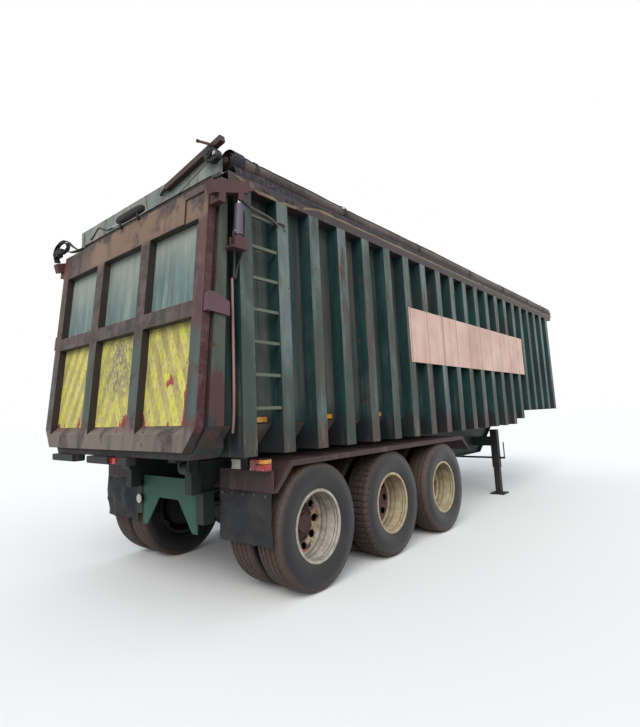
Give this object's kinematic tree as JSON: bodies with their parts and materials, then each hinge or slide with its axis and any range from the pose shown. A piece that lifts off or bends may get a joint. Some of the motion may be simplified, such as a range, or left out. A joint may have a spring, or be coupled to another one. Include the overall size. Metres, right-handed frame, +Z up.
{
  "type": "dump semi-trailer",
  "caption": "Worn dump semi-trailer with ribbed tipping body, top-hung hydraulic tailgate, front telescopic hoist, paired wheels, rolled canvas cover, landing legs and kingpin",
  "frame": {"origin": "On the ground, in the middle of the trailer's box", "axes": "+X forward along the trailer, +Y to its left, +Z up"},
  "size_m": [9.8, 2.67, 3.6045],
  "materials": {
    "body_green": "satin",
    "rib_green": "satin",
    "top_rail_red": "satin",
    "chassis_green": "satin",
    "dark_steel": "satin",
    "gate_brown": "satin",
    "gate_panel": "satin",
    "banner_beige": "satin",
    "fender_brown": "satin",
    "tyre_rubber": "matte",
    "rim_cream": "satin",
    "flap_rubber": "matte",
    "lamp_red": "gloss",
    "canvas": "matte",
    "bright_rod": "polished",
    "bare_steel": "worn",
    "arm_maroon": "satin",
    "spring_steel": "satin"
  },
  "bodies": {
    "chassis": {"chassis_frame": "chassis_green", "rear_cross_brace": "chassis_green", "kingpin": "bare_steel", "landing_legs": "dark_steel", "leaf_springs": "spring_steel", "axle_beams": "dark_steel", "air_tanks": "dark_steel", "fenders": "fender_brown", "mudflaps": "flap_rubber", "tail_lamps": "lamp_red"},
    "wheel_rear_right": {"tyres_rear_right": "tyre_rubber", "rims_rear_right": "rim_cream"},
    "wheel_rear_left": {"tyres_rear_left": "tyre_rubber", "rims_rear_left": "rim_cream"},
    "wheel_middle_right": {"tyres_middle_right": "tyre_rubber", "rims_middle_right": "rim_cream"},
    "wheel_middle_left": {"tyres_middle_left": "tyre_rubber", "rims_middle_left": "rim_cream"},
    "wheel_front_right": {"tyres_front_right": "tyre_rubber", "rims_front_right": "rim_cream"},
    "wheel_front_left": {"tyres_front_left": "tyre_rubber", "rims_front_left": "rim_cream"},
    "tipping_body": {"body_floor": "body_green", "side_wall_right": "body_green", "side_wall_left": "body_green", "front_wall": "body_green", "ribs_right": "rib_green", "ribs_left": "rib_green", "top_rails": "top_rail_red", "rear_frame": "rib_green", "sub_frame": "chassis_green", "ladder_rungs": "body_green", "banner_panels": "banner_beige", "sill_lamp_housings": "dark_steel", "canvas_roll": "canvas", "winding_tube_ends": "bare_steel", "roll_supports": "bare_steel", "crank_bar": "gate_brown", "gate_pivots": "bare_steel", "ram_brackets": "top_rail_red", "hoist_bracket": "rib_green"},
    "tailgate": {"gate_frame": "gate_brown", "gate_skin": "gate_panel", "gate_arms": "arm_maroon", "gate_lap_plates": "arm_maroon"},
    "gate_ram_barrel_right": {"ram_barrel_right": "arm_maroon"},
    "gate_ram_rod_right": {"ram_rod_right": "bright_rod"},
    "gate_ram_barrel_left": {"ram_barrel_left": "arm_maroon"},
    "gate_ram_rod_left": {"ram_rod_left": "bright_rod"},
    "hoist_barrel": {"hoist_barrel": "dark_steel"},
    "hoist_stage_1": {"hoist_stage_1": "bright_rod"},
    "hoist_stage_2": {"hoist_stage_2": "bright_rod"},
    "hoist_stage_3": {"hoist_stage_3": "bright_rod"},
    "hoist_stage_4": {"hoist_stage_4": "bright_rod"}
  },
  "joints": [
    {"name": "wheel_rear_right_spin", "type": "hinge", "parent": "chassis", "child": "wheel_rear_right", "pos_m": [-3.625, -0.945, 0.52], "axis": [0, 1, 0], "continuous": true},
    {"name": "wheel_rear_left_spin", "type": "hinge", "parent": "chassis", "child": "wheel_rear_left", "pos_m": [-3.625, 0.945, 0.52], "axis": [0, 1, 0], "continuous": true},
    {"name": "wheel_middle_right_spin", "type": "hinge", "parent": "chassis", "child": "wheel_middle_right", "pos_m": [-2.425, -0.945, 0.52], "axis": [0, 1, 0], "continuous": true},
    {"name": "wheel_middle_left_spin", "type": "hinge", "parent": "chassis", "child": "wheel_middle_left", "pos_m": [-2.425, 0.945, 0.52], "axis": [0, 1, 0], "continuous": true},
    {"name": "wheel_front_right_spin", "type": "hinge", "parent": "chassis", "child": "wheel_front_right", "pos_m": [-1.225, -0.945, 0.52], "axis": [0, 1, 0], "continuous": true},
    {"name": "wheel_front_left_spin", "type": "hinge", "parent": "chassis", "child": "wheel_front_left", "pos_m": [-1.225, 0.945, 0.52], "axis": [0, 1, 0], "continuous": true},
    {"name": "body_tip", "type": "hinge", "parent": "chassis", "child": "tipping_body", "pos_m": [-4.4, 0, 1.03], "axis": [0, -1, 0], "range_deg": [0, 45]},
    {"name": "tailgate_swing", "type": "hinge", "parent": "tipping_body", "child": "tailgate", "pos_m": [-4.41, 0, 3.215], "axis": [0, 1, 0], "range_deg": [0, 45]},
    {"name": "gate_ram_right_swing", "type": "hinge", "parent": "tipping_body", "child": "gate_ram_barrel_right", "pos_m": [-4.535, -1.3, 2.75], "axis": [0, -1, 0], "range_deg": [0, 8.57]},
    {"name": "gate_ram_right_stroke", "type": "slide", "parent": "gate_ram_barrel_right", "child": "gate_ram_rod_right", "axis": [0.0394, 0, 0.9992], "range_m": [0, 0.1213]},
    {"name": "gate_ram_left_swing", "type": "hinge", "parent": "tipping_body", "child": "gate_ram_barrel_left", "pos_m": [-4.535, 1.3, 2.75], "axis": [0, -1, 0], "range_deg": [0, 8.57]},
    {"name": "gate_ram_left_stroke", "type": "slide", "parent": "gate_ram_barrel_left", "child": "gate_ram_rod_left", "axis": [0.0394, 0, 0.9992], "range_m": [0, 0.1213]},
    {"name": "hoist_swing", "type": "hinge", "parent": "chassis", "child": "hoist_barrel", "pos_m": [4.72, 0, 1.17], "axis": [0, -1, 0], "range_deg": [0, 28.42]},
    {"name": "hoist_stroke_1", "type": "slide", "parent": "hoist_barrel", "child": "hoist_stage_1", "axis": [0, 0, 1], "range_m": [0, 1.7162]},
    {"name": "hoist_stroke_2", "type": "slide", "parent": "hoist_stage_1", "child": "hoist_stage_2", "axis": [0, 0, 1], "range_m": [0, 1.7162]},
    {"name": "hoist_stroke_3", "type": "slide", "parent": "hoist_stage_2", "child": "hoist_stage_3", "axis": [0, 0, 1], "range_m": [0, 1.7162]},
    {"name": "hoist_stroke_4", "type": "slide", "parent": "hoist_stage_3", "child": "hoist_stage_4", "axis": [0, 0, 1], "range_m": [0, 1.7162]}
  ],
  "couplings": [
    {"joint": "gate_ram_right_swing", "follows": "tailgate_swing", "ratio": 0.19045},
    {"joint": "gate_ram_right_stroke", "follows": "tailgate_swing", "m_per_rad": 0.15434},
    {"joint": "gate_ram_left_swing", "follows": "tailgate_swing", "ratio": 0.19045},
    {"joint": "gate_ram_left_stroke", "follows": "tailgate_swing", "m_per_rad": 0.15434},
    {"joint": "hoist_swing", "follows": "body_tip", "ratio": 0.63158},
    {"joint": "hoist_stroke_1", "follows": "body_tip", "m_per_rad": 2.1851},
    {"joint": "hoist_stroke_2", "follows": "body_tip", "m_per_rad": 2.1851},
    {"joint": "hoist_stroke_3", "follows": "body_tip", "m_per_rad": 2.1851},
    {"joint": "hoist_stroke_4", "follows": "body_tip", "m_per_rad": 2.1851}
  ]
}
